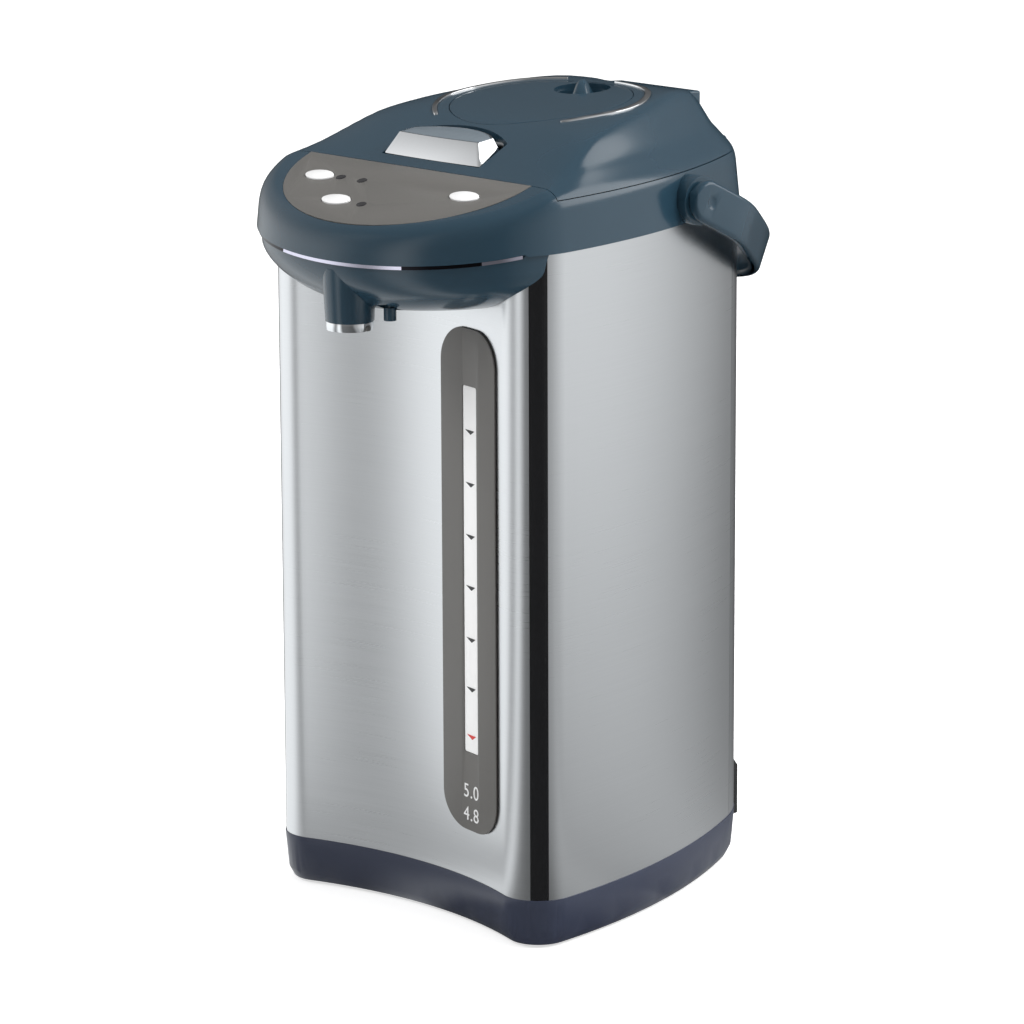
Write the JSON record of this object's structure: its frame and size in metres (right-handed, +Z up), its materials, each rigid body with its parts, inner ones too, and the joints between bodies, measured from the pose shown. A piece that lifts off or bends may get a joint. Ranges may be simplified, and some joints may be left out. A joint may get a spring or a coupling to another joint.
{
  "type": "electric thermo pot",
  "caption": "Slim steel-clad electric hot water dispenser with a beaked control panel, hinged pump lid, water gauge, carrying handle and rear power inlet.",
  "frame": {"origin": "on the resting plane, on the body's plane of symmetry, 91 mm behind the middle of the hollow front face", "axes": "+Z up along the body's height, front (spout and control panel) faces -Y, rear (lid hinge and power inlet) faces +Y, +X is the side the water gauge is on"},
  "size_m": [0.182, 0.266, 0.384],
  "materials": {
    "steel_shell": "satin stainless sheet",
    "slate": "slate blue gloss",
    "navy": "navy gloss",
    "gauge_grey": "grey printed film",
    "black": "black gloss",
    "chrome": "polished plating",
    "film": "grey panel film",
    "white_key": "white gloss",
    "lamp": "dark lamp lens",
    "window": "white gauge window",
    "tube": "clear tube",
    "float_red": "red ball",
    "silicone": "translucent silicone",
    "rubber": "black rubber",
    "stainless": "plain stainless",
    "zinc": "zinc plated steel",
    "heater": "aluminium clad band",
    "wool": "felted insulation",
    "inner_plastic": "natural polypropylene",
    "board": "circuit board",
    "parts_dark": "moulded components",
    "brass": "plated brass"
  },
  "bodies": {
    "pot": {"base_shell": "navy", "bottom_plate": "parts_dark", "base_screws": "zinc", "rubber_feet": "rubber", "front_panel": "steel_shell", "right_panel": "steel_shell", "left_panel": "steel_shell", "rear_panel": "steel_shell", "corner_strips": "black", "gauge_frame": "gauge_grey", "gauge_window": "window", "gauge_tube": "tube", "gauge_float": "float_red", "collar": "slate", "beak_lower": "slate", "slot_trim": "chrome", "spout_nozzle": "slate", "spout_ring": "chrome", "outlet_pipe": "silicone", "cup_lever_pin": "zinc", "cup_switch": "parts_dark", "control_panel": "film", "indicator_lamps": "lamp", "control_board": "board", "tact_switches": "parts_dark", "handle_pivots": "slate", "hinge_pin": "zinc", "inner_vessel": "stainless", "vessel_seal": "silicone", "heater_band": "heater", "insulation": "wool", "vessel_bracket": "zinc", "thermostat": "parts_dark", "pump_housing": "inner_plastic", "pump_motor": "zinc", "suction_hose": "silicone", "delivery_hose": "silicone", "power_board": "board", "power_parts": "parts_dark", "inlet_housing": "black", "inlet_socket": "parts_dark", "inlet_pins": "brass"},
    "handle": {"handle": "slate"},
    "lid": {"lid_cover": "slate", "lid_inner": "inner_plastic", "lid_gasket": "silicone", "steam_vent": "slate", "accent_arcs": "chrome", "latch_pin": "zinc", "bellows": "inner_plastic", "return_spring": "stainless"},
    "latch": {"latch_lever": "chrome"},
    "bolt": {"latch_bolt": "inner_plastic"},
    "disc": {"pump_disc": "slate"},
    "knob": {"lock_knob": "slate"},
    "boil_key": {"boil_button": "white_key"},
    "lock_key": {"lock_button": "white_key"},
    "dispense_key": {"dispense_button": "white_key"},
    "cup_press": {"cup_lever": "slate"},
    "rotor": {"pump_rotor": "inner_plastic"}
  },
  "joints": [
    {"name": "handle_hinge", "type": "hinge", "parent": "pot", "child": "handle", "pos_m": [0, 0.012, 0.3365], "axis": [-1, 0, 0], "range_deg": [-116, 0]},
    {"name": "lid_hinge", "type": "hinge", "parent": "pot", "child": "lid", "pos_m": [0, 0.097, 0.347], "axis": [-1, 0, 0], "range_deg": [0, 80]},
    {"name": "latch_hinge", "type": "hinge", "parent": "lid", "child": "latch", "pos_m": [0, -0.058, 0.3642], "axis": [-1, 0, 0], "range_deg": [0, 25], "stiffness_Nm_per_rad": 0.08, "springref_deg": -11.46},
    {"name": "bolt_slide", "type": "slide", "parent": "lid", "child": "bolt", "axis": [0, 1, 0], "range_m": [0, 0.003]},
    {"name": "disc_slide", "type": "slide", "parent": "lid", "child": "disc", "axis": [0, 0, 1], "range_m": [-0.016, 0], "stiffness_N_per_m": 350, "springref_m": 0.004, "deforming": ["bellows", "return_spring"]},
    {"name": "knob_turn", "type": "hinge", "parent": "disc", "child": "knob", "pos_m": [0, 0.021, 0.374], "axis": [0, 0, 1], "range_deg": [0, 90]},
    {"name": "boil_key_press", "type": "slide", "parent": "pot", "child": "boil_key", "axis": [0, 0.3219, -0.9468], "range_m": [0, 0.0008], "stiffness_N_per_m": 500, "springref_m": -0.0006},
    {"name": "lock_key_press", "type": "slide", "parent": "pot", "child": "lock_key", "axis": [0, 0.3219, -0.9468], "range_m": [0, 0.0008], "stiffness_N_per_m": 500, "springref_m": -0.0006},
    {"name": "dispense_key_press", "type": "slide", "parent": "pot", "child": "dispense_key", "axis": [0, 0.3219, -0.9468], "range_m": [0, 0.0008], "stiffness_N_per_m": 500, "springref_m": -0.0006},
    {"name": "cup_press_hinge", "type": "hinge", "parent": "pot", "child": "cup_press", "pos_m": [0.019, -0.126, 0.3019], "axis": [1, 0, 0], "range_deg": [0, 12], "stiffness_Nm_per_rad": 0.004, "springref_deg": -8.59},
    {"name": "rotor_spin", "type": "hinge", "parent": "pot", "child": "rotor", "pos_m": [-0.018, 0.026, 0.04], "axis": [0, 0, 1], "continuous": true}
  ],
  "couplings": [
    {"joint": "bolt_slide", "follows": "latch_hinge", "m_per_rad": 0.006874}
  ]
}
